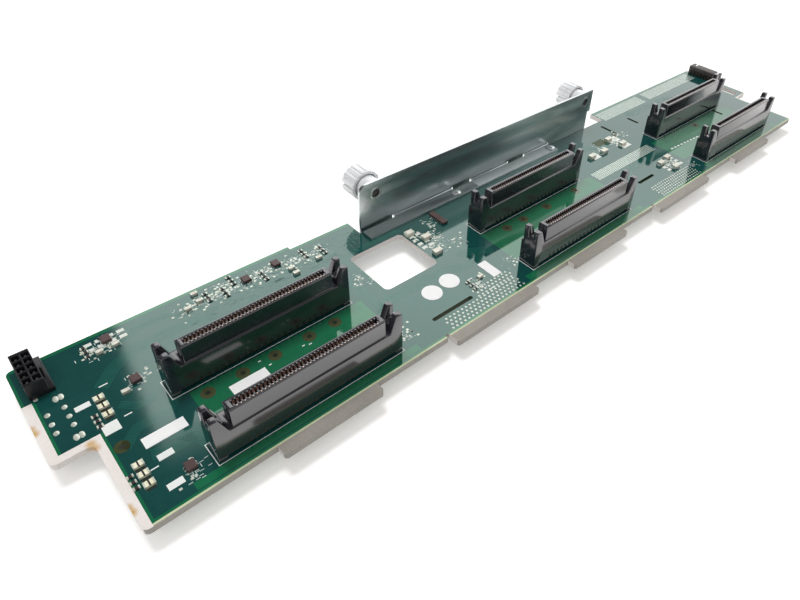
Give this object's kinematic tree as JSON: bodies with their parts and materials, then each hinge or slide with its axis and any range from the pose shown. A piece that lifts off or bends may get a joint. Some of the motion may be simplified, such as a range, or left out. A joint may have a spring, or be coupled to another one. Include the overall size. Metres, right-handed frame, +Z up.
{
  "type": "hot-swap drive backplane board",
  "caption": "Long green circuit board with upright drive connectors in two rows, a folded steel bracket holding two captive thumbscrews, a square air opening and small headers.",
  "frame": {"origin": "middle of the whole assembly's footprint, at the level of the surface that the host connectors stand on", "axes": "+X along the board towards the signal socket's end, +Y across the board towards the bracket and its thumbscrews, +Z up, the way the drive connectors stand"},
  "size_m": [0.413, 0.0888, 0.0324],
  "materials": {
    "board": "satin",
    "housings": "gloss",
    "headers": "satin",
    "contacts": "polished",
    "pins": "polished",
    "bracket": "satin",
    "rivets": "satin",
    "ferrules": "polished",
    "rings": "satin",
    "thumbscrews": "polished",
    "chips": "matte",
    "leds": "satin",
    "capacitors": "matte",
    "resistors": "matte",
    "labels": "matte"
  },
  "bodies": {
    "backplane": {"bracket_rivets": "rivets", "chip_resistors": "resistors", "circuit_board": "board", "control_chips": "chips", "drive_contacts_front_left": "contacts", "drive_contacts_front_middle": "contacts", "drive_contacts_front_right": "contacts", "drive_contacts_rear_left": "contacts", "drive_contacts_rear_middle": "contacts", "drive_contacts_rear_right": "contacts", "drive_housing_front_left": "housings", "drive_housing_front_middle": "housings", "drive_housing_front_right": "housings", "drive_housing_rear_left": "housings", "drive_housing_rear_middle": "housings", "drive_housing_rear_right": "housings", "ground_strips": "contacts", "large_capacitors": "capacitors", "left_ferrule": "ferrules", "paper_labels": "labels", "power_header": "headers", "power_host_contacts": "contacts", "power_host_housing": "housings", "power_pins": "pins", "right_ferrule": "ferrules", "screw_bracket": "bracket", "signal_host_contacts": "contacts", "signal_host_housing": "housings", "signal_pins": "pins", "signal_socket": "headers", "small_capacitors": "capacitors", "status_leds": "leds", "top_chips": "chips"},
    "left_screw_ring": {"left_retaining_ring": "rings"},
    "right_screw_ring": {"right_retaining_ring": "rings"},
    "left_screw": {"left_thumbscrew": "thumbscrews"},
    "right_screw": {"right_thumbscrew": "thumbscrews"}
  },
  "joints": [
    {"name": "left_screw_slide", "type": "slide", "parent": "backplane", "child": "left_screw_ring", "axis": [0, -1, 0], "range_m": [0, 0.004]},
    {"name": "left_screw_turn", "type": "hinge", "parent": "left_screw_ring", "child": "left_screw", "pos_m": [-0.065, 0.03995, 0.0254], "axis": [0, -1, 0], "continuous": true},
    {"name": "right_screw_slide", "type": "slide", "parent": "backplane", "child": "right_screw_ring", "axis": [0, -1, 0], "range_m": [0, 0.004]},
    {"name": "right_screw_turn", "type": "hinge", "parent": "right_screw_ring", "child": "right_screw", "pos_m": [0.0764, 0.03995, 0.0254], "axis": [0, -1, 0], "continuous": true}
  ]
}
